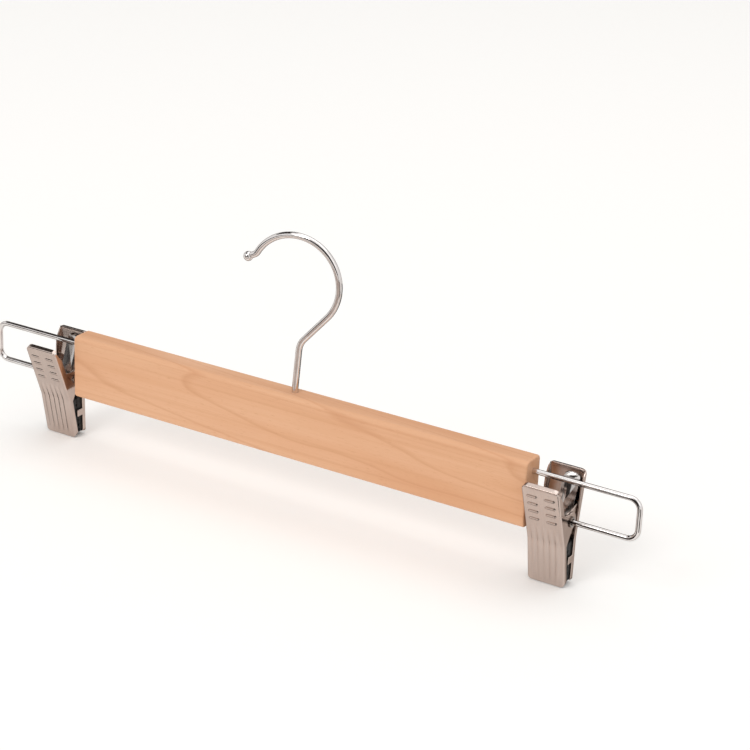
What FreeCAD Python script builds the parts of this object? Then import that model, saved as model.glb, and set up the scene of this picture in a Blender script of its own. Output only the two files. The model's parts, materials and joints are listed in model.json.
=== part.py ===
import FreeCAD, Part
import math
import os
import re

import Sketcher

# A skirt hanger: a wooden bar, a swivel hook of round wire, and a wire loop out of each bar end
# that carries a sprung, stamped clip with rubber pads.
# Millimetres and degrees. +X runs along the bar, -Y is the front, +Z is up.
# The origin is on the swivel axis at the inside top of the hook's eye, where it hangs on a rail.

sizes = {
    # wooden bar
    "bar_length": "250",
    "bar_height": "32",
    "bar_depth": "12.5",
    "bar_round": "2.4",
    # swivel hook
    "hook_wire": "3.0",
    "hook_fit": "0.08",
    "hook_turn": "8",
    "shank_lean": "4",
    "lean_start": "1.0",
    "lean_radius": "24",
    "knee_rise": "20.9",
    "knee_radius": "10",
    "eye_radius": "22.1",
    "eye_rise": "53.9",
    "eye_setback": "1.7",
    "eye_end": "150",
    "tip_radius": "3.5",
    "tip_turn": "35",
    "tip_length": "3.4",
    "ball_diameter": "4.6",
    # hidden end of the hook, under the bar
    "counterbore_diameter": "9.0",
    "counterbore_depth": "4.2",
    "washer_diameter": "8.0",
    "washer_thick": "0.8",
    "washer_gap": "0.1",
    "head_diameter": "6.0",
    "head_height": "1.8",
    "head_round": "0.7",
    # wire loops
    "loop_wire": "2.5",
    "loop_reach": "51.8",
    "loop_corner": "5.0",
    "upper_drop": "6.0",
    "lower_drop": "25.1",
    "socket_depth": "22",
    "socket_fit": "0.06",
    "socket_end_gap": "0.5",
    # clip plates
    "plate_width": "18.3",
    "plate_thick": "0.8",
    "plate_reach": "8.5",
    "top_corner": "2.8",
    "jaw_corner": "2.0",
    "edge_round": "0.7",
    "handle_top": "22.8",
    "handle_lean": "15",
    "bend_drop": "8.2",
    "bend_round": "10",
    "jaw_length": "21.7",
    "jaw_kick": "9.8",
    "lip_depth": "2.6",
    "lip_round": "1.1",
    "flange_top_depth": "1.2",
    "flange_depth": "3.4",
    "flange_slope": "7",
    "flange_taper": "1.2",
    "jaw_flange_depth": "2.4",
    "ear_radius": "4.5",
    "ear_root": "8.4",
    "ear_gap": "0.2",
    "pivot_fit": "0.08",
    "dash_length": "5.2",
    "dash_width": "1.6",
    "dash_height": "0.45",
    "dash_columns": "8.6",
    "dash_pitch": "4.3",
    "dash_first": "5.2",
    "dash_slope": "48",
    "rib_width": "2.1",
    "rib_crest": "0.7",
    "rib_height": "0.35",
    "rib_sink": "0.2",
    "rib_pitch": "2.9",
    "rib_top": "0.6",
    "rib_margin": "2.6",
    "tab_height": "3.5",
    "tab_reach": "3.9",
    "tab_drop": "16.4",
    # pivot sleeve and leaf spring
    "sleeve_wall": "0.5",
    "sleeve_bore_gap": "0.3",
    "sleeve_rim": "0.4",
    "sleeve_rim_thick": "0.5",
    "spring_thick": "0.6",
    "spring_width": "8",
    "spring_bore_gap": "0.25",
    "spring_top": "20",
    "spring_gap": "0.25",
    "spring_corner": "2.5",
    # rubber pads
    "pad_top": "9.2",
    "pad_end_gap": "1.2",
    "pad_side_gap": "0.15",
    "pad_gap": "0.3",
    "groove_pitch": "2.8",
    "groove_depth": "0.7",
    "groove_width": "1.1",
    # how the clips stand in the picture
    "left_clip_gap": "3.9",
    "right_clip_gap": "1.9",
    "left_swing": "6.7",
    "right_swing": "4.0",
    "left_spring_shift": "1.3",
    "right_spring_shift": "3.1",
    # how far cuts run past a face, and how near two edges count as the same
    "overrun": "2",
    "same_place": "0.002",
}

counts = {"dash_rows": 4, "ribs": 5, "grooves": 6}

doc = FreeCAD.newDocument("SkirtHanger")
sheet = doc.addObject("Spreadsheet::Sheet", "Sizes")
for row, (name, number) in enumerate(sizes.items(), start=1):
    sheet.set(f"A{row}", name)
    sheet.set(f"B{row}", number)
    sheet.setAlias(f"B{row}", name)
doc.recompute()


def formula(words):
    """The words with each size name pointed at its cell of the sheet."""
    return re.sub(r"[a-z_]+", lambda word: f"Sizes.{word[0]}" if word[0] in sizes else word[0], words)


def value(words):
    """The number that a formula in size names gives."""
    return float(sheet.evalExpression(formula(words)))


def origin_plane(body, role):
    return next(feature for feature in body.Origin.OriginFeatures if feature.Role == role)


def new_body(label):
    body = doc.addObject("PartDesign::Body", label)
    body.Label = label
    return body


def new_sketch(body, role, name, offset=None):
    """A sketch on one of the body's own planes, moved along its normal by a formula."""
    sketch = body.newObject("Sketcher::SketchObject", name)
    sketch.AttachmentSupport = (origin_plane(body, role), [""])
    sketch.MapMode = "FlatFace"
    if offset is not None:
        sketch.setExpression("AttachmentOffset.Base.z", formula(offset))
    return sketch


def bind(sketch, name, expression, kind, *where):
    """A named constraint whose value is a formula in size names."""
    index = sketch.addConstraint(Sketcher.Constraint(kind, *where, value(expression)))
    sketch.renameConstraint(index, name)
    sketch.setExpression(f"Constraints.{name}", formula(expression))


def point(pair):
    return FreeCAD.Vector(value(pair[0]), value(pair[1]), 0)


def draw_line(sketch, corners, arcs=None, closed=False):
    """A line through corners given as formula pairs; arcs maps a side to a point that it passes."""
    arcs = arcs or {}
    first = sketch.GeometryCount
    count = len(corners)
    sides = count if closed else count - 1
    starts, ends = [], []
    for side in range(sides):
        start, end = point(corners[side]), point(corners[(side + 1) % count])
        if side in arcs:
            sketch.addGeometry(Part.Arc(start, point(arcs[side]), end))
        else:
            sketch.addGeometry(Part.LineSegment(start, end))
        forward = sketch.getPoint(first + side, 1).isEqual(start, value("same_place"))
        starts.append((first + side, 1 if forward else 2))
        ends.append((first + side, 2 if forward else 1))
    for side in range(sides if closed else sides - 1):
        sketch.addConstraint(Sketcher.Constraint("Coincident", *ends[side], *starts[(side + 1) % sides]))
    places = starts if closed else starts + [ends[-1]]
    for number, ((across, up), place) in enumerate(zip(corners, places)):
        bind(sketch, f"across_{first}_{number}", across, "DistanceX", *place)
        bind(sketch, f"up_{first}_{number}", up, "DistanceY", *place)


def draw_loop(sketch, corners, arcs=None):
    draw_line(sketch, corners, arcs, closed=True)


def draw_circle(sketch, across, up, radius):
    index = sketch.addGeometry(Part.Circle(point((across, up)), FreeCAD.Vector(0, 0, 1), value(radius)))
    bind(sketch, f"across_{index}", across, "DistanceX", index, 3)
    bind(sketch, f"up_{index}", up, "DistanceY", index, 3)
    bind(sketch, f"radius_{index}", radius, "Radius", index)


def pad(body, sketch, name, length, midplane=False, backwards=False, slope=None):
    feature = body.newObject("PartDesign::Pad", name)
    feature.Profile = sketch
    if slope is not None:
        feature.setExpression("TaperAngle", formula(f"-{slope}"))
    feature.Midplane = midplane
    feature.Reversed = backwards
    feature.setExpression("Length", formula(length))
    doc.recompute()
    return feature


def pocket(body, sketch, name, length=None, backwards=False, midplane=False, slope=None):
    """A cut to a formula's depth, or right through, that has to take something away."""
    before = body.Shape.Volume
    feature = body.newObject("PartDesign::Pocket", name)
    feature.Profile = sketch
    if slope is not None:
        feature.setExpression("TaperAngle", formula(f"-{slope}"))
    feature.Reversed = backwards
    feature.Midplane = midplane
    if length is None:
        feature.Type = "ThroughAll"
    else:
        feature.setExpression("Length", formula(length))
    doc.recompute()
    if body.Shape.Volume >= before:
        raise RuntimeError(f"{body.Label}: {name} cuts nothing")
    return feature


def mirror(body, feature, name):
    """The feature again on the other side of the body's YZ plane."""
    mirrored = body.newObject("PartDesign::Mirrored", name)
    mirrored.Originals = [feature]
    mirrored.MirrorPlane = (origin_plane(body, "YZ_Plane"), [""])
    body.Tip = mirrored
    doc.recompute()
    return mirrored


def repeat(body, features, name, role, reach, occurrences, backwards=False):
    """Features again along one of the body's axes, evenly over a reach."""
    pattern = body.newObject("PartDesign::LinearPattern", name)
    pattern.Originals = features
    pattern.Direction = (origin_plane(body, role), [""])
    pattern.Reversed = backwards
    pattern.setExpression("Length", formula(reach))
    pattern.Occurrences = occurrences
    body.Tip = pattern
    doc.recompute()
    return pattern


def round_edges(body, name, radius, wanted):
    """A fillet on the edges of the body that a test picks, which are tested in the body's own frame."""
    base = body.Tip
    shape = base.Shape
    names = [f"Edge{i}" for i, edge in enumerate(shape.Edges, start=1) if wanted(edge)]
    if not names:
        raise RuntimeError(f"{body.Label}: {name} finds no edges")
    fillet = body.newObject("PartDesign::Fillet", name)
    fillet.Base = (base, names)
    fillet.setExpression("Radius", formula(radius))
    doc.recompute()
    return fillet


def seat(piece, across, depth, up, axis=FreeCAD.Vector(0, 0, 1), turn="0"):
    """Put a piece in its place: formulas for where it goes and for its turn about an axis."""
    piece.Placement = FreeCAD.Placement(FreeCAD.Vector(), FreeCAD.Rotation(axis, value(turn)))
    for letter, words in zip("xyz", (across, depth, up)):
        piece.setExpression(f"Placement.Base.{letter}", formula(words))


def near(number, target):
    return abs(number - target) < value("same_place")


# Levels that several pieces share, as formulas.
bar_top = "-(eye_rise + eye_radius - hook_wire / 2)"
lower_level = f"({bar_top} - lower_drop)"
sleeve_outer = "(loop_wire / 2 + sleeve_bore_gap + sleeve_wall)"
pivot_hole = f"({sleeve_outer} + pivot_fit)"
along_x = FreeCAD.Vector(1, 0, 0)


def make_bar():
    body = new_body("bar")
    block = new_sketch(body, "XZ_Plane", "BarFace")
    draw_loop(block, [
        ("-bar_length / 2", "-bar_height"),
        ("bar_length / 2", "-bar_height"),
        ("bar_length / 2", "0"),
        ("-bar_length / 2", "0"),
    ])
    pad(body, block, "Block", "bar_depth", midplane=True)
    round_edges(body, "SoftEdges", "bar_round", lambda edge: True)

    bore = new_sketch(body, "XY_Plane", "HookBore")
    draw_circle(bore, "0", "0", "hook_wire / 2 + hook_fit")
    pocket(body, bore, "Bore")
    under = new_sketch(body, "XY_Plane", "Counterbore", "-bar_height")
    draw_circle(under, "0", "0", "counterbore_diameter / 2")
    pocket(body, under, "HeadRoom", "counterbore_depth", backwards=True)

    sockets = new_sketch(body, "YZ_Plane", "LoopSockets", "bar_length / 2")
    draw_circle(sockets, "0", "-upper_drop", "loop_wire / 2 + socket_fit")
    draw_circle(sockets, "0", "-lower_drop", "loop_wire / 2 + socket_fit")
    right = pocket(body, sockets, "RightSockets", "socket_depth")
    mirror(body, right, "LeftSockets")
    seat(body, "0", "0", bar_top)
    return body


head_top = "(-bar_height + counterbore_depth - washer_thick - 2 * washer_gap)"


def make_hook():
    """Round wire: a shank through the bar, a knee, a neck that meets the eye and a flared ball tip."""
    body = new_body("hook")
    foot = f"{head_top} - head_height / 2"
    leaned = "lean_radius * (1 - cos(shank_lean))"
    eye_last = "eye_rise + eye_radius * sin(eye_end)"
    tip_centre = ("(eye_radius + tip_radius) * cos(eye_end) - eye_setback",
                  "(eye_radius + tip_radius) * sin(eye_end) + eye_rise")
    tip_start = (f"{tip_centre[0]} - tip_radius * cos(eye_end - tip_turn)",
                 f"{tip_centre[1]} - tip_radius * sin(eye_end - tip_turn)")
    tip_end = (f"{tip_start[0]} - tip_length * sin(eye_end - tip_turn)",
               f"{tip_start[1]} + tip_length * cos(eye_end - tip_turn)")

    # where the neck runs: it touches the knee's bend on one side and the eye on the other
    lean, knee, eye, tip = (value(f"{name}_radius") for name in ("lean", "knee", "eye", "tip"))
    tilt, last, turn = (math.radians(value(name)) for name in ("shank_lean", "eye_end", "tip_turn"))
    lean_end = point((leaned, "lean_start + lean_radius * sin(shank_lean)"))
    stem_rise = "(knee_rise - lean_start - lean_radius * sin(shank_lean))"
    knee_start = point((f"{leaned} + {stem_rise} * tan(shank_lean)", "knee_rise"))
    knee_centre = knee_start + FreeCAD.Vector(math.cos(tilt), -math.sin(tilt), 0) * knee
    centre = point(("-eye_setback", "eye_rise"))
    between = centre - knee_centre
    aim = math.atan2(between.y, between.x) - math.asin((knee + eye) / between.Length)
    rightward = FreeCAD.Vector(math.sin(aim), -math.cos(aim), 0)

    def arc(middle, radius, low, high):
        return Part.ArcOfCircle(Part.Circle(middle, FreeCAD.Vector(0, 0, 1), radius), low, high)

    path = new_sketch(body, "XZ_Plane", "HookPath")
    path.addGeometry([
        Part.LineSegment(point(("0", foot)), point(("0", "lean_start"))),
        arc(point(("lean_radius", "lean_start")), lean, math.pi - tilt, math.pi),
        Part.LineSegment(lean_end, knee_start),
        arc(knee_centre, knee, aim + math.pi / 2, math.pi - tilt),
        Part.LineSegment(knee_centre - rightward * knee, centre + rightward * eye),
        arc(centre, eye, aim - math.pi / 2, last),
        arc(point(tip_centre), tip, last + math.pi - turn, last + math.pi),
        Part.LineSegment(point(tip_start), point(tip_end)),
    ])
    shank, bow, stem, bend, neck, loop, flare, end = range(path.GeometryCount)
    joins = [(shank, 2, bow, 2), (bow, 1, stem, 1), (stem, 2, bend, 2), (bend, 1, neck, 1),
             (neck, 2, loop, 1), (loop, 2, flare, 2), (flare, 1, end, 1)]
    for join in joins:
        path.addConstraint(Sketcher.Constraint("Tangent", *join))
    for name, index in (("lean", bow), ("knee", bend), ("eye", loop), ("tip", flare)):
        bind(path, f"set_{name}_radius", f"{name}_radius", "Radius", index)
    bind(path, "foot_across", "0", "DistanceX", shank, 1)
    bind(path, "foot_up", foot, "DistanceY", shank, 1)
    bind(path, "lean_across", "0", "DistanceX", shank, 2)
    bind(path, "lean_up", "lean_start", "DistanceY", shank, 2)
    bind(path, "lean_reach", leaned, "DistanceX", stem, 1)
    bind(path, "knee_up", "knee_rise", "DistanceY", stem, 2)
    bind(path, "eye_across", "-eye_setback", "DistanceX", loop, 3)
    bind(path, "eye_up", "eye_rise", "DistanceY", loop, 3)
    bind(path, "eye_last", eye_last, "DistanceY", loop, 2)
    bind(path, "tip_across", tip_start[0], "DistanceX", end, 1)
    bind(path, "tip_run", "tip_length", "Distance", end)

    section = new_sketch(body, "XY_Plane", "HookSection", foot)
    draw_circle(section, "0", "0", "hook_wire / 2")
    doc.recompute()
    pipe = body.newObject("PartDesign::AdditivePipe", "Wire")
    pipe.Profile = section
    pipe.Spine = (path, [f"Edge{i}" for i in range(1, path.GeometryCount + 1)])
    doc.recompute()

    ball = body.newObject("PartDesign::AdditiveSphere", "BallTip")
    ball.AttachmentSupport = (origin_plane(body, "XY_Plane"), [""])
    ball.MapMode = "ObjectXY"
    ball.setExpression("Radius", formula("ball_diameter / 2"))
    ball.setExpression("AttachmentOffset.Base.x", formula(tip_end[0]))
    ball.setExpression("AttachmentOffset.Base.z", formula(tip_end[1]))

    head = new_sketch(body, "XZ_Plane", "HeadSide")
    draw_loop(head, [
        ("0", f"{head_top} - head_height"),
        ("head_diameter / 2 - head_round", f"{head_top} - head_height"),
        ("head_diameter / 2", f"{head_top} - head_height + head_round"),
        ("head_diameter / 2", head_top),
        ("0", head_top),
    ])
    turned = body.newObject("PartDesign::Revolution", "UpsetHead")
    turned.Profile = head
    turned.ReferenceAxis = (head, ["V_Axis"])
    turned.Angle = 360
    doc.recompute()
    seat(body, "0", "0", bar_top, turn="hook_turn")
    return body


def make_washer():
    """The plain washer between the hook's head and the bar, in the bar's counterbore."""
    disc = doc.addObject("Part::Cylinder", "WasherDisc")
    disc.setExpression("Radius", formula("washer_diameter / 2"))
    disc.setExpression("Height", formula("washer_thick"))
    hole = doc.addObject("Part::Cylinder", "WasherHole")
    hole.setExpression("Radius", formula("hook_wire / 2 + hook_fit"))
    hole.setExpression("Height", formula("washer_thick"))
    washer = doc.addObject("Part::Cut", "hook_washer")
    washer.Base, washer.Tool = disc, hole
    washer.Label = "hook_washer"
    seat(washer, "0", "0", f"{bar_top} - bar_height + counterbore_depth - washer_gap - washer_thick")
    return washer


def make_wire_loop(side, sign):
    """A U of round wire whose two legs are pressed into the bar's end."""
    body = new_body(f"{side}_wire_loop")
    inner = value("bar_length / 2 - socket_depth + socket_end_gap")
    outer = value("bar_length / 2 + loop_reach")
    high, low, corner = value("-upper_drop"), value("-lower_drop"), value("loop_corner")
    path = new_sketch(body, "XZ_Plane", "LoopPath")

    def bend(across, up, low_angle):
        circle = Part.Circle(FreeCAD.Vector(across, up, 0), FreeCAD.Vector(0, 0, 1), corner)
        return Part.ArcOfCircle(circle, low_angle, low_angle + math.pi / 2)

    path.addGeometry([
        Part.LineSegment(FreeCAD.Vector(inner, low, 0), FreeCAD.Vector(outer - corner, low, 0)),
        bend(outer - corner, low + corner, -math.pi / 2),
        Part.LineSegment(FreeCAD.Vector(outer, low + corner, 0), FreeCAD.Vector(outer, high - corner, 0)),
        bend(outer - corner, high - corner, 0),
        Part.LineSegment(FreeCAD.Vector(outer - corner, high, 0), FreeCAD.Vector(inner, high, 0)),
    ])
    for index in range(4):
        path.addConstraint(Sketcher.Constraint("Tangent", index, 2, index + 1, 1))
    path.addConstraint(Sketcher.Constraint("Horizontal", 0))
    path.addConstraint(Sketcher.Constraint("Vertical", 2))
    bind(path, "inner_end", "bar_length / 2 - socket_depth + socket_end_gap", "DistanceX", 0, 1)
    bind(path, "upper_end", "bar_length / 2 - socket_depth + socket_end_gap", "DistanceX", 4, 2)
    bind(path, "lower_level", "-lower_drop", "DistanceY", 0, 1)
    bind(path, "upper_level", "-upper_drop", "DistanceY", 4, 2)
    bind(path, "reach", "bar_length / 2 + loop_reach", "DistanceX", 2, 1)
    bind(path, "lower_corner", "loop_corner", "Radius", 1)
    bind(path, "upper_corner", "loop_corner", "Radius", 3)

    section = new_sketch(body, "YZ_Plane", "LoopSection", "bar_length / 2 - socket_depth + socket_end_gap")
    draw_circle(section, "0", "-lower_drop", "loop_wire / 2")
    doc.recompute()
    pipe = body.newObject("PartDesign::AdditivePipe", "Wire")
    pipe.Profile = section
    pipe.Spine = (path, [f"Edge{i}" for i in range(1, path.GeometryCount + 1)])
    doc.recompute()
    seat(body, "0", "0", bar_top, turn="0" if sign > 0 else "180")
    return body


# The plates are drawn with the handle upright and the pivot at the origin, and leaned when they are seated.
# "out" is the distance outward from the pivot, towards the plate's own face.
jaw_out = "(plate_reach + jaw_length * sin(jaw_kick))"
jaw_end = "(-bend_drop - jaw_length * cos(jaw_kick))"


def along_jaw(length, inset):
    """A place on the jaw, a length below its bend and an inset in from its outer face."""
    out = f"plate_reach + ({length}) * sin(jaw_kick) - ({inset}) * cos(jaw_kick)"
    up = f"-bend_drop - ({length}) * cos(jaw_kick) - ({inset}) * sin(jaw_kick)"
    return out, up


def bend_inside(inset):
    """The bend of the plate at an inset in from its outer face."""
    return f"plate_reach - ({inset})", f"-bend_drop - ({inset}) * tan(jaw_kick / 2)"


def make_plate(side, face, centre, swing):
    """A stamped plate: face with lip, side flanges, pivot ears, raised dashes and ribs."""
    outward = -1 if face == "front" else 1
    body = new_body(f"{side}_{face}_plate")

    def turned(places):
        return [(f"{outward} * ({out})", up) for out, up in places]

    side_view = new_sketch(body, "YZ_Plane", "FaceSide")
    draw_loop(side_view, turned([
        ("plate_reach", "handle_top"),
        ("plate_reach", "-bend_drop"),
        along_jaw("jaw_length", "0"),
        along_jaw("jaw_length", "plate_thick"),
        bend_inside("plate_thick"),
        ("plate_reach - plate_thick", "handle_top - plate_thick"),
        ("plate_reach - lip_depth", "handle_top - plate_thick"),
        ("plate_reach - lip_depth", "handle_top"),
    ]))
    pad(body, side_view, "Face", "plate_width", midplane=True)

    def across_at(out, up):
        def test(edge):
            box = edge.BoundBox
            flat = box.YLength + box.ZLength < value("same_place")
            return flat and near(box.YMin, outward * value(out)) and near(box.ZMin, value(up))
        return test

    round_edges(body, "OuterBend", "bend_round", across_at("plate_reach", "-bend_drop"))
    round_edges(body, "InnerBend", "bend_round", across_at(*bend_inside("plate_thick")))
    round_edges(body, "LipBend", "lip_round", across_at("plate_reach", "handle_top"))

    flange = new_sketch(body, "YZ_Plane", "FlangeSide", "plate_width / 2")
    outer_line = [
        ("plate_reach - plate_thick / 2", "handle_top - lip_round"),
        ("plate_reach - plate_thick / 2", "-bend_drop"),
        along_jaw("jaw_length", "plate_thick / 2"),
        along_jaw("jaw_length", "jaw_flange_depth"),
        along_jaw("flange_taper", "jaw_flange_depth"),
    ]
    upper_line = [
        ("plate_reach - flange_depth", "handle_top - flange_slope"),
        ("plate_reach - flange_top_depth", "handle_top - lip_round"),
    ]
    if face == "front":
        root = ("plate_reach - flange_depth", "ear_root - flange_top_depth")
        ear = [("0", "-ear_radius"), ("0", "ear_radius"), root]
        round_end = {len(outer_line): turned([("-ear_radius", "0")])[0]}
        draw_loop(flange, turned(outer_line + ear + upper_line), round_end)
    else:
        passing = [
            ("plate_reach - jaw_flange_depth", "-ear_radius"),
            ("plate_reach - jaw_flange_depth", "ear_radius"),
        ]
        draw_loop(flange, turned(outer_line + passing + upper_line))
    wall = pad(body, flange, "Flange", "plate_thick", backwards=True)
    mirror(body, wall, "OtherFlange")

    if face == "rear":
        # its ears stand inside the front plate's ears
        inner = new_sketch(body, "YZ_Plane", "InnerEar", "plate_width / 2 - plate_thick - ear_gap")
        draw_loop(inner, turned([
            ("plate_reach - plate_thick / 2", "ear_root"),
            ("plate_reach - plate_thick / 2", "-ear_root"),
            ("0", "-ear_radius"),
            ("0", "ear_radius"),
        ]), {2: turned([("-ear_radius", "0")])[0]})
        ear = pad(body, inner, "Ear", "plate_thick", backwards=True)
        mirror(body, ear, "OtherEar")
        tab = new_sketch(body, "YZ_Plane", "PadTab", "plate_width / 2")
        tab_from = "tab_drop - bend_drop"
        draw_loop(tab, turned([
            along_jaw(tab_from, "plate_thick"),
            along_jaw(f"{tab_from} + tab_height", "plate_thick"),
            along_jaw(f"{tab_from} + tab_height", "jaw_flange_depth + tab_reach"),
            along_jaw(tab_from, "jaw_flange_depth + tab_reach"),
        ]))
        hold = pad(body, tab, "Tab", "plate_thick", backwards=True)
        mirror(body, hold, "OtherTab")

    def side_edge(edge):
        box = edge.BoundBox
        upright = box.XLength + box.YLength < value("same_place")
        at_side = near(abs(box.XMin), value("plate_width / 2"))
        return upright and at_side and near(box.YMin, outward * value("plate_reach"))

    round_edges(body, "SideBends", "edge_round", side_edge)

    hole = new_sketch(body, "YZ_Plane", "PivotHole")
    draw_circle(hole, "0", "0", pivot_hole)
    pocket(body, hole, "Pivot", midplane=True)

    # the outline seen from the front, with rounded corners: everything outside it goes
    trim = new_sketch(body, "XZ_Plane", "CornerTrim")
    wide = "plate_width / 2"
    for mark in (-1, 1):
        for level, way, corner in (("handle_top", 1, "top_corner"), (jaw_end, -1, "jaw_corner")):
            edge_x, edge_up = f"{mark} * ({wide})", level
            out_x = f"{mark} * ({wide} + overrun)"
            out_up = f"{level} + {way} * overrun"
            in_x, in_up = f"{mark} * ({wide} - {corner})", f"{level} - {way} * {corner}"
            bow = f"{corner} * (1 - sqrt(0.5))"
            rim = [(in_x, edge_up), (in_x, out_up), (out_x, out_up), (out_x, in_up), (edge_x, in_up)]
            draw_loop(trim, rim, {4: (f"{mark} * ({wide} - {bow})", f"{level} - {way} * {bow}")})
    pocket(body, trim, "Corners", midplane=True)

    # ribs run down the face and round its bend
    rib_span = f"rib_pitch * {counts['ribs'] - 1}"
    bend_run = "bend_round * tan(jaw_kick / 2)"
    rib_path = new_sketch(body, "YZ_Plane", "RibPath", f"-{rib_span} / 2")
    draw_line(rib_path, turned([
        ("plate_reach", "rib_top"),
        ("plate_reach", f"-bend_drop + {bend_run}"),
        along_jaw(bend_run, "0"),
        along_jaw("jaw_length - rib_margin", "0"),
    ]), {1: turned([("plate_reach + bend_round * (1 - cos(jaw_kick / 2))",
                     f"-bend_drop + {bend_run} - bend_round * sin(jaw_kick / 2)")])[0]})
    rib_end = new_sketch(body, "XY_Plane", "RibEnd", "rib_top")
    draw_loop(rib_end, [
        (f"-{rib_span} / 2 - rib_width / 2", f"{outward} * (plate_reach - rib_sink)"),
        (f"-{rib_span} / 2 + rib_width / 2", f"{outward} * (plate_reach - rib_sink)"),
        (f"-{rib_span} / 2 + rib_crest / 2", f"{outward} * (plate_reach + rib_height)"),
        (f"-{rib_span} / 2 - rib_crest / 2", f"{outward} * (plate_reach + rib_height)"),
    ])
    doc.recompute()
    rib = body.newObject("PartDesign::AdditivePipe", "Rib")
    rib.Profile = rib_end
    rib.Spine = (rib_path, [f"Edge{i}" for i in range(1, rib_path.GeometryCount + 1)])
    doc.recompute()
    repeat(body, [rib], "Ribs", "X_Axis", rib_span, counts["ribs"])

    def dash_sketch(name, offset):
        sketch = new_sketch(body, "XZ_Plane", name, f"{-outward} * ({offset})")
        level = "handle_top - dash_first"
        half, thin = "dash_length / 2 - dash_width / 2", "dash_width / 2"
        for mark in (-1, 1):
            middle = f"{mark} * dash_columns / 2"
            draw_loop(sketch, [
                (f"{middle} - ({half})", f"{level} - {thin}"),
                (f"{middle} + ({half})", f"{level} - {thin}"),
                (f"{middle} + ({half})", f"{level} + {thin}"),
                (f"{middle} - ({half})", f"{level} + {thin}"),
            ], {1: (f"{middle} + dash_length / 2", level), 3: (f"{middle} - dash_length / 2", level)})
        return sketch

    # dashes are pressed out of the sheet, so each is raised outside and hollow inside
    raised = pad(body, dash_sketch("DashFace", "plate_reach"), "Dash", "dash_height",
                 backwards=outward > 0, slope="dash_slope")
    hollow = pocket(body, dash_sketch("DashBack", "plate_reach - plate_thick"), "DashHollow", "dash_height",
                    backwards=outward < 0, slope="dash_slope")
    dash_span = f"dash_pitch * {counts['dash_rows'] - 1}"
    repeat(body, [raised, hollow], "Dashes", "Z_Axis", dash_span, counts["dash_rows"], backwards=True)
    seat(body, centre, "0", lower_level, along_x, f"{-outward} * handle_lean + {swing}")
    return body


def make_sleeve(side, centre):
    """The hollow rivet that holds the ears together and slides on the lower wire."""
    body = new_body(f"{side}_pivot_sleeve")
    section = new_sketch(body, "XZ_Plane", "SleeveSection")
    inside, outside = "loop_wire / 2 + sleeve_bore_gap", sleeve_outer
    shoulder, end = "plate_width / 2 + ear_gap", "plate_width / 2 + ear_gap + sleeve_rim_thick"
    draw_loop(section, [
        (f"-({end})", inside),
        (end, inside),
        (end, f"{outside} + sleeve_rim"),
        (shoulder, f"{outside} + sleeve_rim"),
        (shoulder, outside),
        (f"-({shoulder})", outside),
        (f"-({shoulder})", f"{outside} + sleeve_rim"),
        (f"-({end})", f"{outside} + sleeve_rim"),
    ])
    turned = body.newObject("PartDesign::Revolution", "Sleeve")
    turned.Profile = section
    turned.ReferenceAxis = (section, ["H_Axis"])
    turned.Angle = 360
    doc.recompute()
    seat(body, centre, "0", lower_level)
    return body


def make_spring(side, centre, swing):
    """A bent leaf: a curl under the sleeve and two legs that push the handles apart."""
    body = new_body(f"{side}_leaf_spring")
    inner = f"({sleeve_outer} + spring_bore_gap)"
    outer = f"({sleeve_outer} + spring_bore_gap + spring_thick)"
    # where each leg ends, just inside its handle
    reach = "(plate_reach - plate_thick - spring_gap)"
    end_out = f"({reach} * cos(handle_lean) + spring_top * sin(handle_lean))"
    end_up = f"(spring_top * cos(handle_lean) - {reach} * sin(handle_lean))"
    spread = f"(atan2({end_out}; {end_up}) - asin({outer} / hypot({end_out}; {end_up})))"
    run = f"sqrt({end_out}^2 + {end_up}^2 - {outer}^2)"
    profile = new_sketch(body, "YZ_Plane", "SpringSide")

    def leg(radius, mark, at_end):
        length = run if at_end else "0"
        out = f"{mark} * ({radius} * cos({spread}) + {length} * sin({spread}))"
        return out, f"{length} * cos({spread}) - {radius} * sin({spread})"

    draw_loop(profile, [
        leg(outer, 1, True), leg(outer, 1, False), leg(outer, -1, False), leg(outer, -1, True),
        leg(inner, -1, True), leg(inner, -1, False), leg(inner, 1, False), leg(inner, 1, True),
    ], {1: ("0", f"-{outer}"), 5: ("0", f"-{inner}")})
    pad(body, profile, "Leaf", "spring_width", midplane=True)

    highest = body.Shape.BoundBox.ZMax

    def leg_end(edge):
        box = edge.BoundBox
        return box.XLength < value("same_place") and box.ZMin > highest - value("spring_thick")

    round_edges(body, "LegEnds", "spring_corner", leg_end)
    seat(body, f"{centre} + {side}_spring_shift", "0", lower_level, along_x, swing)
    return body


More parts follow.
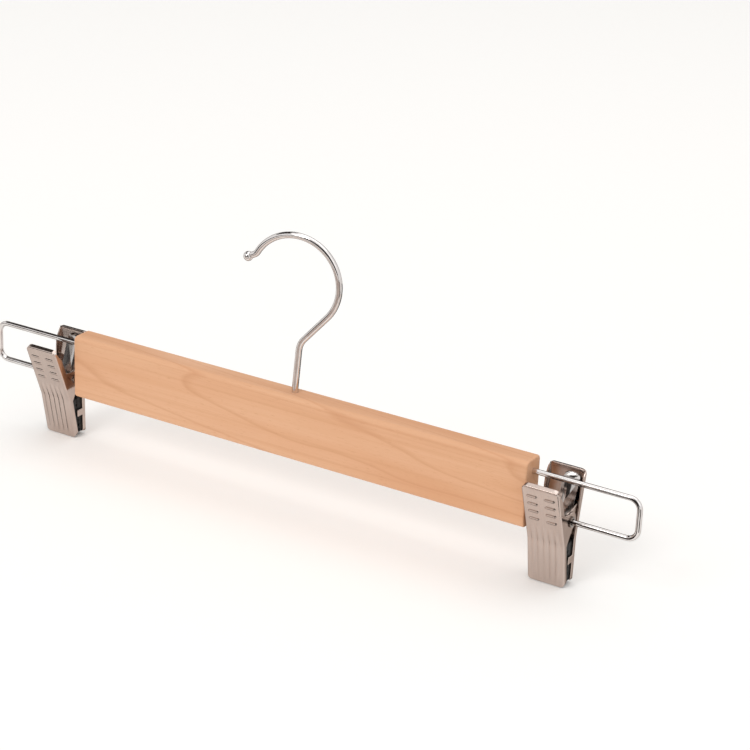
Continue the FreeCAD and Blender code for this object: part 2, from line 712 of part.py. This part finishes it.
def make_pad(side, face, centre, swing):
    """A rubber wedge that fills a jaw from its plate to the clip's middle plane, with grip grooves."""
    outward = -1 if face == "front" else 1
    body = new_body(f"{side}_{face}_pad")
    # drawn upright on the clip's middle plane, so the jaw's slope is what is left of its lean
    slope = "(handle_lean - jaw_kick)"
    turn_out = "(plate_reach * cos(handle_lean) - bend_drop * sin(handle_lean))"
    turn_up = "(-plate_reach * sin(handle_lean) - bend_drop * cos(handle_lean))"
    inside = "(plate_thick / cos(handle_lean - jaw_kick))"
    bottom = f"({turn_up} - jaw_length * cos{slope} + pad_end_gap)"
    view = new_sketch(body, "YZ_Plane", "PadSide")

    def back(up):
        return f"{outward} * ({turn_out} + ({up} - {turn_up}) * tan{slope} - {inside})"

    front = f"{outward} * pad_gap / 2"
    top = "-pad_top - plate_reach * sin(handle_lean)"
    draw_loop(view, [(front, bottom), (back(bottom), bottom), (back(top), top), (front, top)])
    width = "plate_width - 2 * plate_thick - 2 * pad_side_gap"
    pad(body, view, "Wedge", width, midplane=True)

    groove = new_sketch(body, "YZ_Plane", "GrooveSide")
    start = f"{bottom} + groove_pitch / 2"
    draw_loop(groove, [
        (front, f"{start} - groove_width / 2"),
        (f"{outward} * (pad_gap / 2 + groove_depth)", start),
        (front, f"{start} + groove_width / 2"),
    ])
    cut = pocket(body, groove, "Groove", midplane=True)
    reach = f"groove_pitch * {counts['grooves'] - 1}"
    repeat(body, [cut], "Grooves", "Z_Axis", reach, counts["grooves"])
    seat(body, centre, "0", lower_level, along_x, swing)
    return body


pieces = [make_bar(), make_hook(), make_washer()]
for side, sign in (("left", -1), ("right", 1)):
    centre = f"{sign} * (bar_length / 2 + {side}_clip_gap + plate_width / 2)"
    swing = f"{side}_swing"
    pieces.append(make_wire_loop(side, sign))
    pieces.append(make_sleeve(side, centre))
    pieces.append(make_spring(side, centre, swing))
    for face in ("front", "rear"):
        pieces.append(make_plate(side, face, centre, swing))
        pieces.append(make_pad(side, face, centre, swing))
doc.recompute()

for thing in doc.Objects:
    if "Invalid" in thing.State or "Error" in thing.State:
        raise RuntimeError(f"{thing.Label} failed: {thing.State}")
for piece in pieces:
    if piece.Shape.isNull() or not piece.Shape.isValid():
        raise RuntimeError(f"{piece.Label} has no valid shape")
    if len(piece.Shape.Solids) != 1:
        raise RuntimeError(f"{piece.Label} is {len(piece.Shape.Solids)} solids")

os.makedirs("parts", exist_ok=True)
for piece in pieces:
    piece.Shape.exportStep(f"parts/{piece.Label}.step")
    print(f"{piece.Label}: {piece.Shape.Volume:.1f} mm3")
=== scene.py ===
import json
import math

import bmesh
import bpy
from mathutils import Matrix, Vector


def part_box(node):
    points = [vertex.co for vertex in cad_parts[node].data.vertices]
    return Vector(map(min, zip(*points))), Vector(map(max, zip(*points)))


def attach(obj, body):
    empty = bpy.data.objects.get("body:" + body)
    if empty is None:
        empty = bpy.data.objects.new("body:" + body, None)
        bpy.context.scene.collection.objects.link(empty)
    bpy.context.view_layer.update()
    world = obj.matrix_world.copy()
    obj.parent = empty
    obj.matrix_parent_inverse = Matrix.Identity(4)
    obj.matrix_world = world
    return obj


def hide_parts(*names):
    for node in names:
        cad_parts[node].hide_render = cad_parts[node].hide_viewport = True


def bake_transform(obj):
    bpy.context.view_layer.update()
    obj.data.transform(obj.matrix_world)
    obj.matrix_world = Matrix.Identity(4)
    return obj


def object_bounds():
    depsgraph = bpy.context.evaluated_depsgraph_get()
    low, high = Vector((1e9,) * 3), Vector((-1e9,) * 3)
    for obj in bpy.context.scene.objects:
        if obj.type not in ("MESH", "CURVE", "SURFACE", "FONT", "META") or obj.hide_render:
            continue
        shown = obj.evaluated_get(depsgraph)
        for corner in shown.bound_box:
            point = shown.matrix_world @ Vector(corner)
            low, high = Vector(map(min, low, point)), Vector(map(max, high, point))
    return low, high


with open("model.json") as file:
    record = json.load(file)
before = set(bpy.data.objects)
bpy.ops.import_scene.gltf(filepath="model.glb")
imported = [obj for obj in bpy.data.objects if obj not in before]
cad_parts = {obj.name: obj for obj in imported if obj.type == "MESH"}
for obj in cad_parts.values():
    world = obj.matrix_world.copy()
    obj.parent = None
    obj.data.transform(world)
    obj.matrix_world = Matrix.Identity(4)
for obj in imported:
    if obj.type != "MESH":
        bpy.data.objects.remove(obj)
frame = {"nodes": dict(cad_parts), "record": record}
cadBox = [list(corner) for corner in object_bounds()]
print("hanger frame loaded", cadBox)


# camera, where the photographer stood

shot = {
    "aim": (0.0425, 0.0, -0.0556),
    "turn": 30.41,  # degrees round to the right of the front
    "height": 21.97,  # degrees above the horizon
    "tilt": 2.57,  # the camera's own roll
    "distance": 0.9962,
    "lens": 106.0,
    "sensor": 36.0,
    "farthest": 20.0,
}


def placeCamera():
    turn, height, tilt = (math.radians(shot[key]) for key in ("turn", "height", "tilt"))
    back = Vector((math.sin(turn) * math.cos(height), -math.cos(turn) * math.cos(height), math.sin(height)))
    level = Vector((math.cos(turn), math.sin(turn), 0))
    upright = back.cross(level)
    right = level * math.cos(tilt) + upright * math.sin(tilt)
    up = upright * math.cos(tilt) - level * math.sin(tilt)
    seat = Matrix((right, up, back)).transposed().to_4x4()
    seat.translation = Vector(shot["aim"]) + back * shot["distance"]
    data = bpy.data.cameras.new("photoCamera")
    data.sensor_width = shot["sensor"]
    data.lens = shot["lens"]
    data.clip_end = shot["farthest"]
    camera = bpy.data.objects.new("photoCamera", data)
    camera.matrix_world = seat
    bpy.context.scene.collection.objects.link(camera)
    bpy.context.scene.camera = camera


placeCamera()
print("camera placed")


# shader writing

class Signal:  # a socket that sums can be written on
    def __init__(self, paint, socket):
        self.paint = paint
        self.socket = socket

    def sum(self, operation, first, second):
        return self.paint.node("ShaderNodeMath", {"operation": operation}, {0: first, 1: second})

    def __add__(self, other):
        return self.sum("ADD", self, other)

    def __sub__(self, other):
        return self.sum("SUBTRACT", self, other)

    def __mul__(self, other):
        return self.sum("MULTIPLY", self, other)

    def __pow__(self, other):
        return self.sum("POWER", self, other)

    def __rsub__(self, other):
        return self.sum("SUBTRACT", other, self)

    def part(self):  # what is left of a number past its whole
        return self.sum("FRACT", self, 0)

    __radd__ = __add__
    __rmul__ = __mul__


class Paint:  # one node tree
    def __init__(self, name, owner=None):
        self.owner = owner or bpy.data.materials.new(name)
        self.owner.use_nodes = True
        self.tree = self.owner.node_tree

    def node(self, kind, settings, sockets, output=0):
        made = self.tree.nodes.new(kind)
        for key, setting in settings.items():
            if key == "stops":
                ramp = made.color_ramp.elements
                while len(ramp) < len(setting):
                    ramp.new(0.5)
                for element, (place, colour) in zip(ramp, setting):
                    element.position = place
                    element.color = colour
            else:
                setattr(made, key, setting)
        for key, value in sockets.items():
            if isinstance(value, Signal):
                self.tree.links.new(value.socket, made.inputs[key])
            else:
                made.inputs[key].default_value = value
        return Signal(self, made.outputs[output])

    def finish(self, **sockets):  # the main shader's own sockets
        shader = self.tree.nodes["Principled BSDF"]
        for key, value in sockets.items():
            name = key.replace("_", " ")
            if isinstance(value, Signal):
                self.tree.links.new(value.socket, shader.inputs[name])
            else:
                shader.inputs[name].default_value = value
        return self.owner

    def outlet(self, nodeName):
        return Signal(self, self.tree.nodes[nodeName].outputs[0])

    def axes(self):
        spot = self.node("ShaderNodeTexCoord", {}, {}, "Object")
        split = self.node("ShaderNodeSeparateXYZ", {}, {"Vector": spot}, "X").socket.node
        return [Signal(self, split.outputs[axis]) for axis in "XYZ"]

    def noise(self, stretch, detail=3, rough=0.5, twist=0.0, shift=(0, 0, 0)):
        spot = self.node("ShaderNodeTexCoord", {}, {}, "Object")
        spot = self.node("ShaderNodeMapping", {}, {"Vector": spot, "Scale": stretch, "Location": shift})
        sockets = {"Vector": spot, "Scale": 1.0, "Detail": detail, "Roughness": rough, "Distortion": twist}
        return self.node("ShaderNodeTexNoise", {}, sockets)

    def ramp(self, factor, *stops):
        return self.node("ShaderNodeValToRGB", {"stops": stops}, {"Fac": factor})

    def grade(self, factor, low, high, outLow=0.0, outHigh=1.0):
        sockets = {"Value": factor, "From Min": low, "From Max": high, "To Min": outLow, "To Max": outHigh}
        return self.node("ShaderNodeMapRange", {}, sockets)

    def blend(self, factor, first, second):  # by number, as its colour sockets share names with others
        settings = {"data_type": "RGBA", "blend_type": "MIX"}
        return self.node("ShaderNodeMix", settings, {"Factor": factor, 6: first, 7: second}, 2)

    def bump(self, height, strength, distance):
        sockets = {"Height": height, "Strength": strength, "Distance": distance}
        return self.node("ShaderNodeBump", {}, sockets)


screenCurve = {"full": 255, "knee": 11, "slope": 12.92, "offset": 0.055, "power": 2.4}


def linearPart(part):
    share = part / screenCurve["full"]
    if part < screenCurve["knee"]:
        return share / screenCurve["slope"]
    return ((share + screenCurve["offset"]) / (1 + screenCurve["offset"])) ** screenCurve["power"]


def shade(red, green, blue):  # a colour as a picture shows it, for the shader
    return tuple(linearPart(part) for part in (red, green, blue)) + (1.0,)


black, white = shade(0, 0, 0), shade(255, 255, 255)


# finishes

noiseBand = (0.3, 0.7)  # where most of a noise lies

woodTones = {
    "pale": shade(231, 181, 143),
    "plain": shade(226, 173, 134),
    "warm": shade(219, 162, 121),
    "line": shade(197, 133, 92),
}
woodGrain = {
    "heart": (0.021, -0.080),  # the log's centre line at mid length, metres back and up
    "lean": (-0.075, 0.030),  # how fast that line nears the front and climbs, per metre of bar
    "ring": 0.0062,  # one year's growth
    "waver": 0.0075,  # how far a ring strays
    "late": (0.84, 0.95, 1.0),  # shares of a year at which its dark line starts, peaks and ends
    "lineDepth": 0.34,
    "plainAt": 0.4,  # where the plain tone lies between warm and pale
    "broad": {"stretch": (7, 80, 80), "detail": 2, "rough": 0.45, "twist": 0.4},
    "sway": {"stretch": (12, 30, 30), "detail": 2, "rough": 0.45, "shift": (0.4, 0.1, 0)},
    "veins": {"stretch": (3, 430, 430), "detail": 2, "shift": (0.2, 0, 0.3)},
    "fibre": {"stretch": (11, 1500, 1500), "detail": 4, "rough": 0.65, "shift": (0.3, 0, 0)},
    "flecks": {"stretch": (260, 2600, 2600), "detail": 1},
}
woodLayers = {  # from and to in the noise, then the layer's weakest and strongest share
    "veins": (0.56, 0.72, 0.0, 0.25),
    "fibre": (0.45, 0.75, 0.0, 0.4),
    "flecks": (0.64, 0.74, 0.0, 0.3),
}
woodSheen = {
    "gloss": (0.36, 0.48),
    "fibreRelief": 0.6,
    "fleckRelief": 0.4,
    "bump": (0.1, 0.0004),
    "specular": 0.25,
    "coat": 0.08,
    "coatRough": 0.25,
}


def lacqueredWood():
    paint = Paint("lacqueredWood")
    length, depth, height = paint.axes()
    layers = ("broad", "sway", "veins", "fibre", "flecks")
    broad, sway, veins, fibre, flecks = (paint.noise(**woodGrain[layer]) for layer in layers)
    heart, lean = woodGrain["heart"], woodGrain["lean"]
    across = depth - heart[0] - length * lean[0]
    up = height - heart[1] - length * lean[1]
    ring = (across * across + up * up) ** 0.5 + (sway - 0.5) * woodGrain["waver"]
    season = (ring * (1 / woodGrain["ring"])).part()
    start, peak, end = woodGrain["late"]
    late = paint.grade(season, start, peak) * paint.grade(season, peak, end, 1.0, 0.0)
    tone = paint.ramp(paint.grade(broad, *noiseBand), (0.0, woodTones["warm"]),
                      (woodGrain["plainAt"], woodTones["plain"]), (1.0, woodTones["pale"]))
    tone = paint.blend(late * woodGrain["lineDepth"], tone, woodTones["line"])
    tone = paint.blend(paint.grade(veins, *woodLayers["veins"]), tone, woodTones["line"])
    tone = paint.blend(paint.grade(fibre, *woodLayers["fibre"]), tone, woodTones["warm"])
    tone = paint.blend(paint.grade(flecks, *woodLayers["flecks"]), tone, woodTones["line"])
    relief = fibre * woodSheen["fibreRelief"] + flecks * woodSheen["fleckRelief"]
    return paint.finish(Base_Color=tone, Roughness=paint.grade(fibre, *noiseBand, *woodSheen["gloss"]),
                        Normal=paint.bump(relief, *woodSheen["bump"]),
                        Specular_IOR_Level=woodSheen["specular"],
                        Coat_Weight=woodSheen["coat"], Coat_Roughness=woodSheen["coatRough"])


metalTones = {
    "bright": shade(232, 228, 226),
    "hazed": shade(214, 208, 205),
    "rim": shade(72, 68, 66),  # how dark a mirror goes at a glancing angle
    "nickel": shade(208, 192, 183),
    "nickelDull": shade(196, 179, 170),
    "nickelWorn": shade(184, 166, 157),
    "steel": shade(206, 201, 198),
    "steelDull": shade(172, 166, 162),
}
chromeFinish = {
    "haze": {"stretch": (180, 180, 180)},
    "scratch": {"stretch": (900, 2400, 900), "detail": 2, "shift": (0.1, 0.2, 0)},
    "gloss": (0.06, 0.12),
    "bump": (0.03, 0.0002),
}
nickelFinish = {
    "drawn": {"stretch": (4200, 260, 90), "rough": 0.6},
    "cloud": {"stretch": (70, 70, 50), "detail": 2, "shift": (0.2, 0, 0)},
    "worn": (0.45, 0.75, 0.0, 0.35),
    "gloss": (0.13, 0.22),
    "bump": (0.06, 0.0002),
}
steelFinish = {
    "drawn": {"stretch": (3000, 200, 200), "detail": 2},
    "gloss": (0.08, 0.16),
    "bump": (0.04, 0.0002),
}


def bareMetal(paint, tone, grain, relief, finish):
    return paint.finish(Base_Color=tone, Metallic=1.0, Specular_Tint=metalTones["rim"],
                        Roughness=paint.grade(grain, *noiseBand, *finish["gloss"]),
                        Normal=paint.bump(relief, *finish["bump"]))


def polishedWire(name):
    paint = Paint(name)
    haze = paint.noise(**chromeFinish["haze"])
    scratch = paint.noise(**chromeFinish["scratch"])
    tone = paint.blend(paint.grade(haze, *noiseBand), metalTones["bright"], metalTones["hazed"])
    return bareMetal(paint, tone, haze, scratch, chromeFinish)


def satinNickel():
    paint = Paint("satinNickel")
    drawn = paint.noise(**nickelFinish["drawn"])
    cloud = paint.noise(**nickelFinish["cloud"])
    tone = paint.blend(paint.grade(drawn, *noiseBand), metalTones["nickelDull"], metalTones["nickel"])
    tone = paint.blend(paint.grade(cloud, *nickelFinish["worn"]), tone, metalTones["nickelWorn"])
    return bareMetal(paint, tone, drawn, drawn, nickelFinish)


def springSteel(name):
    paint = Paint(name)
    drawn = paint.noise(**steelFinish["drawn"])
    tone = paint.blend(paint.grade(drawn, *noiseBand), metalTones["steel"], metalTones["steelDull"])
    return bareMetal(paint, tone, drawn, drawn, steelFinish)


rubberFinish = {
    "clean": shade(20, 19, 19),
    "dusty": shade(40, 37, 36),
    "dust": {"stretch": (420, 420, 420), "detail": 4, "rough": 0.6},
    "dustBand": (0.4, 0.75),
    "pebble": {"stretch": (3200, 3200, 3200), "detail": 2},
    "gloss": (0.5, 0.68),
    "bump": (0.15, 0.0002),
}


def mattRubber():
    paint = Paint("mattRubber")
    dust = paint.noise(**rubberFinish["dust"])
    pebble = paint.noise(**rubberFinish["pebble"])
    settled = paint.grade(dust, *rubberFinish["dustBand"])
    tone = paint.blend(settled, rubberFinish["clean"], rubberFinish["dusty"])
    return paint.finish(Base_Color=tone, Roughness=paint.grade(pebble, *noiseBand, *rubberFinish["gloss"]),
                        Normal=paint.bump(pebble, *rubberFinish["bump"]))


finishes = {
    "wood": lacqueredWood(),
    "hook_wire": polishedWire("hookChrome"),
    "loop_wire": polishedWire("loopChrome"),
    "washer": springSteel("washerSteel"),
    "clip_plate": satinNickel(),
    "sleeve": springSteel("sleeveSteel"),
    "spring_steel": springSteel("springSteel"),
    "pad_rubber": mattRubber(),
}

slotOf = {part["node"]: part["material_slot"] for part in frame["record"]["subparts"]}
for name, node in frame["nodes"].items():
    for place in node.material_slots:
        place.material = finishes[slotOf[name]]
print("finishes given")


# pieces that need more than their solid

softEdge = {
    "weld": 0.000001,
    "flat": 0.3,  # degrees between faces that are one flat face
    "sharp": 32.0,  # degrees from which an edge counts as sharp
    "clip_plate": 0.00022,  # how far a sharp edge of each slot is broken
    "pad_rubber": 0.00035,
    "segments": 3,
}


def mergedCopy(nodeName):
    shape = bmesh.new()
    shape.from_mesh(frame["nodes"][nodeName].data)
    bmesh.ops.remove_doubles(shape, verts=shape.verts, dist=softEdge["weld"])
    return shape


def joinFlats(shape):
    bmesh.ops.dissolve_limit(shape, angle_limit=math.radians(softEdge["flat"]),
                             verts=shape.verts, edges=shape.edges)


def placePiece(shape, name, slot):
    for face in shape.faces:
        face.smooth = True
        face.material_index = 0
    mesh = bpy.data.meshes.new(name)
    shape.to_mesh(mesh)
    shape.free()
    mesh.materials.append(finishes[slot])
    piece = bpy.data.objects.new(name, mesh)
    bpy.context.scene.collection.objects.link(piece)
    return piece


def keepSharp(piece):
    piece.data.set_sharp_from_angle(angle=math.radians(softEdge["sharp"]))


def shadeEvenly(piece):  # broad faces stay flat beside their rounds
    even = piece.modifiers.new("evenShading", "WEIGHTED_NORMAL")
    even.keep_sharp = True


pressedRib = {
    "count": 5,
    "pitch": 0.0029,
    "root": 0.0007955,  # half a rib's width where it leaves the sheet
    "crest": 0.00035,  # half its flat top
    "spread": 0.00033,  # how far the foot of each flank is drawn out
    "ramp": 0.0014,  # how long each end takes to die out
    "top": -0.0999,  # all ribs lie below this level
    "near": 0.00002,
}


def ribLine(shape, across):  # one edge of a rib, from its top down
    line = [vert for vert in shape.verts
            if vert.co.z < pressedRib["top"] and abs(vert.co.x - across) < pressedRib["near"]]
    return sorted(line, key=lambda vert: -vert.co.z)


def softenRibs(shape, nodeName):  # pressed sheet has long flanks, and ribs that die out
    low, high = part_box(nodeName)
    reach = pressedRib["count"] // 2
    lines = []
    for rib in range(-reach, reach + 1):
        middle = (low.x + high.x) / 2 + rib * pressedRib["pitch"]
        for way in (-1, 1):
            foot = ribLine(shape, middle + way * pressedRib["root"])
            bmesh.ops.translate(shape, vec=(way * pressedRib["spread"], 0, 0), verts=foot)
            crest = ribLine(shape, middle + way * pressedRib["crest"])
            for end, inner in ((crest[0], crest[1]), (crest[-1], crest[-2])):
                slide = (inner.co - end.co).normalized() * pressedRib["ramp"]
                bmesh.ops.translate(shape, vec=slide, verts=[end])
            lines += [set(foot), set(crest)]
    return {edge for edge in shape.edges if any(line.issuperset(edge.verts) for line in lines)}


def roundEdges(nodeName, pieceName, body):  # a pressed or moulded piece with its edges broken
    slot = slotOf[nodeName]
    shape = mergedCopy(nodeName)
    joinFlats(shape)
    ribs = softenRibs(shape, nodeName) if slot == "clip_plate" else set()
    limit = math.radians(softEdge["sharp"])
    broken = [edge for edge in shape.edges
              if edge in ribs or (edge.is_manifold and edge.calc_face_angle() > limit)]
    bmesh.ops.bevel(shape, geom=broken, offset=softEdge[slot], affect="EDGES",
                    segments=softEdge["segments"], profile=0.5, material=-1, clamp_overlap=False)
    piece = placePiece(shape, pieceName, slot)
    shadeEvenly(piece)
    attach(piece, body)
    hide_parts(nodeName)


for side in ("left", "right"):
    for face in ("front", "rear"):
        roundEdges(f"{side}_{face}_plate", f"{side}{face.title()}Plate", f"{side}_{face}_jaw")
        roundEdges(f"{side}_{face}_pad", f"{side}{face.title()}Pad", f"{side}_{face}_jaw")
print("plates and pads softened")


barEnd = {
    "solid": 0.0024,  # the round on every edge of the solid
    "round": 0.0008,  # the tighter one at a saw cut
    "near": 0.00001,
}


def squareEnds():  # the bar's ends are cut squarer than its long edges
    shape = mergedCopy("bar")
    joinFlats(shape)
    solid, near = barEnd["solid"], barEnd["near"]
    gain = solid - barEnd["round"]
    low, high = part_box("bar")
    middle, half = (low + high) / 2, (high - low) / 2
    core = half - Vector((solid, solid, solid))
    for vert in shape.verts:
        spot = vert.co - middle
        past = Vector(max(0, abs(part) - reach) for part, reach in zip(spot, core))
        if abs(spot.x) < core.x - near or abs(past.length - solid) > near:
            continue
        outward = Vector((0, past.y, past.z))
        inset = 1 - min(1, outward.length / solid)
        if outward.length < near:  # the flat end, where only its four corners move
            atCorner = abs(spot.y) >= core.y - near and abs(spot.z) >= core.z - near
            outward = Vector((0, 1, 1)) if atCorner else Vector((0, 0, 0))
        shift = outward.normalized() * gain * inset
        shift.x = gain * (1 - past.x / solid)
        vert.co += Vector(math.copysign(part, where) for part, where in zip(shift, spot))
    piece = placePiece(shape, "squaredBar", slotOf["bar"])
    keepSharp(piece)
    shadeEvenly(piece)
    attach(piece, "bar")
    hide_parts("bar")


squareEnds()
print("bar ends squared")


springCut = {
    "left": {"centre": -0.13675, "swing": 6.7},  # metres along the bar, degrees the clip hangs back
    "right": {"centre": 0.13915, "swing": 4.0},
    "pivot": -0.0996,
    "turnFrom": -0.002,  # a stretch of each leg, from the pivot up
    "turnTo": 0.012,
}


def splitSpring(side):  # the spring cut at its pivot into a front and a rear leg
    nodeName = f"{side}_leaf_spring"
    swing = math.radians(springCut[side]["swing"])
    pivot = Vector((springCut[side]["centre"], 0, springCut["pivot"]))
    forward = Vector((0, -math.cos(swing), -math.sin(swing)))
    for face, facing in (("front", forward), ("rear", -forward)):
        shape = mergedCopy(nodeName)
        bmesh.ops.bisect_plane(shape, geom=shape.verts[:] + shape.edges[:] + shape.faces[:],
                               dist=softEdge["weld"], plane_co=pivot, plane_no=facing, clear_inner=True)
        piece = placePiece(shape, f"{side}{face.title()}Spring", slotOf[nodeName])
        keepSharp(piece)
        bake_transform(piece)
        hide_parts(nodeName)


for side in ("left", "right"):
    splitSpring(side)
print("springs split")


# floor, light and backdrop

studio = {
    "floorSize": 8.0,
    "floorDrop": 0.0002,
    "floorTone": shade(254, 252, 249),
    "floorSpecular": 0.1,
    "floorLift": 0.06,  # white added to the floor, as seen and mirrored
    "matt": 0.9,  # roughness of floor and cards
    "world": 0.64,
    "backdrop": 1.0,
}
lamps = {
    "keyLamp": {"place": (-0.55, -2.9, 2.4), "size": 1.6, "power": 38.0},
    "fillLamp": {"place": (2.4, -1.0, 1.6), "size": 2.4, "power": 6.0},
    "topLamp": {"place": (0.3, 0.6, 2.3), "size": 2.6, "power": 14.0},
}
flagTones = {"dark": shade(50, 45, 43), "grey": shade(212, 203, 198)}
flagFade = {"near": 0.07, "far": 0.02}  # metres from a card within which it fades
flags = {  # cards round the set, seen in reflections alone; the bar can swivel into the near ones
    "hookBack": {"tone": "dark", "fade": "near",
                 "centre": (0.015, 0.075, -0.085), "size": (0.23, 0.1), "turn": (90, 0, 0)},
    "hookRight": {"tone": "dark", "fade": "near",
                  "centre": (0.15, -0.13, -0.085), "size": (0.13, 0.09), "turn": (90, 0, 47)},
    "hookFront": {"tone": "grey", "fade": "near",
                  "centre": (-0.02, -0.1, -0.085), "size": (0.28, 0.09), "turn": (90, 0, 0)},
    "leftFront": {"tone": "dark", "fade": "far",
                  "centre": (-0.28, -0.27, -0.09), "size": (0.16, 0.085), "turn": (90, 0, -28)},
    "leftBack": {"tone": "dark", "fade": "far",
                 "centre": (-0.35, 0.3, 0.06), "size": (0.1, 0.24), "turn": (90, 0, 0)},
    "rightBack": {"tone": "dark", "fade": "far",
                  "centre": (0.0, 0.3, 0.06), "size": (0.07, 0.24), "turn": (90, 0, 0)},
    "rightLow": {"tone": "dark", "fade": "far",
                 "centre": (0.151, -0.035, -0.11), "size": (0.034, 0.044), "turn": (90, 0, 0)},
    "rightEnd": {"tone": "dark", "fade": "far",
                 "centre": (0.225, -0.036, -0.112), "size": (0.04, 0.04), "turn": (90, 0, 53)},
    "back": {"tone": "dark", "fade": "far",
             "centre": (-1.1, 0.95, 0.85), "size": (0.84, 0.5), "turn": (90, 0, 0)},
    "roof": {"tone": "dark", "fade": "far",
             "centre": (-1.08, 0.07, 1.1), "size": (0.84, 1.86), "turn": (0, 0, 0)},
    "frontLeft": {"tone": "dark", "fade": "far",
                  "centre": (-0.6, -1.05, 0.04), "size": (1.7, 0.34), "turn": (90, 0, -30)},
    "frontRight": {"tone": "dark", "fade": "far",
                   "centre": (0.4, -1.1, 0.43), "size": (1.2, 1.13), "turn": (90, 0, 15)},
}


def softLamp(name):
    lamp = lamps[name]
    data = bpy.data.lights.new(name, "AREA")
    data.shape = "DISK"
    data.size = lamp["size"]
    data.energy = lamp["power"]
    light = bpy.data.objects.new(name, data)
    light.location = lamp["place"]
    aim = Vector(shot["aim"]) - Vector(lamp["place"])
    light.rotation_euler = aim.to_track_quat("-Z", "Y").to_euler()
    bpy.context.scene.collection.objects.link(light)


def stageSheet(name, width, height, material):  # a flat sheet, facing up
    shape = bmesh.new()
    bmesh.ops.create_grid(shape, x_segments=1, y_segments=1, size=0.5)  # a metre square
    bmesh.ops.scale(shape, vec=(width, height, 1), verts=shape.verts)
    mesh = bpy.data.meshes.new(name)
    shape.to_mesh(mesh)
    shape.free()
    mesh.materials.append(material)
    sheet = bpy.data.objects.new(name, mesh)
    bpy.context.scene.collection.objects.link(sheet)
    return sheet


def seenRays(paint):  # 1 for what the camera sees straight, mirrored or through glass
    path = paint.node("ShaderNodeLightPath", {}, {}, "Is Camera Ray")
    outlets = path.socket.node.outputs
    return path + Signal(paint, outlets["Is Glossy Ray"]) + Signal(paint, outlets["Is Transmission Ray"])


def layFloor():
    paint = Paint("paleFloor")
    paint.finish(Base_Color=studio["floorTone"], Roughness=studio["matt"],
                 Specular_IOR_Level=studio["floorSpecular"])
    seen = paint.blend(seenRays(paint), black, white)
    lift = paint.node("ShaderNodeEmission", {}, {"Color": seen, "Strength": studio["floorLift"]})
    lit = paint.node("ShaderNodeAddShader", {}, {0: paint.outlet("Principled BSDF"), 1: lift})
    paint.tree.links.new(lit.socket, paint.tree.nodes["Material Output"].inputs["Surface"])
    floor = stageSheet("floor", studio["floorSize"], studio["floorSize"], paint.owner)
    floor.location.z = cadBox[0][2] - studio["floorDrop"]


def hangFlag(name):
    paint = Paint(name)
    card = flags[name]
    rayLength = paint.node("ShaderNodeLightPath", {}, {}, "Ray Length")
    paint.finish(Base_Color=flagTones[card["tone"]], Roughness=studio["matt"],
                 Alpha=paint.grade(rayLength, 0.0, flagFade[card["fade"]]))
    sheet = stageSheet(name, *card["size"], paint.owner)
    sheet.location = card["centre"]
    sheet.rotation_euler = [math.radians(angle) for angle in card["turn"]]
    sheet.visible_camera = False
    sheet.visible_diffuse = False
    sheet.visible_shadow = False


def hangBackdrop():
    world = bpy.data.worlds.new("studio")
    bpy.context.scene.world = world
    paint = Paint("studio", world)
    light = paint.tree.nodes["Background"]
    light.inputs["Color"].default_value = white
    light.inputs["Strength"].default_value = studio["world"]
    bright = paint.node("ShaderNodeBackground", {}, {"Color": white, "Strength": studio["backdrop"]})
    mixed = paint.node("ShaderNodeMixShader", {},
                       {0: seenRays(paint), 1: paint.outlet("Background"), 2: bright})
    paint.tree.links.new(mixed.socket, paint.tree.nodes["World Output"].inputs["Surface"])


layFloor()
hangBackdrop()
for name in flags:
    hangFlag(name)
for name in lamps:
    softLamp(name)
bpy.context.scene.view_settings.view_transform = "Standard"
print("studio set")
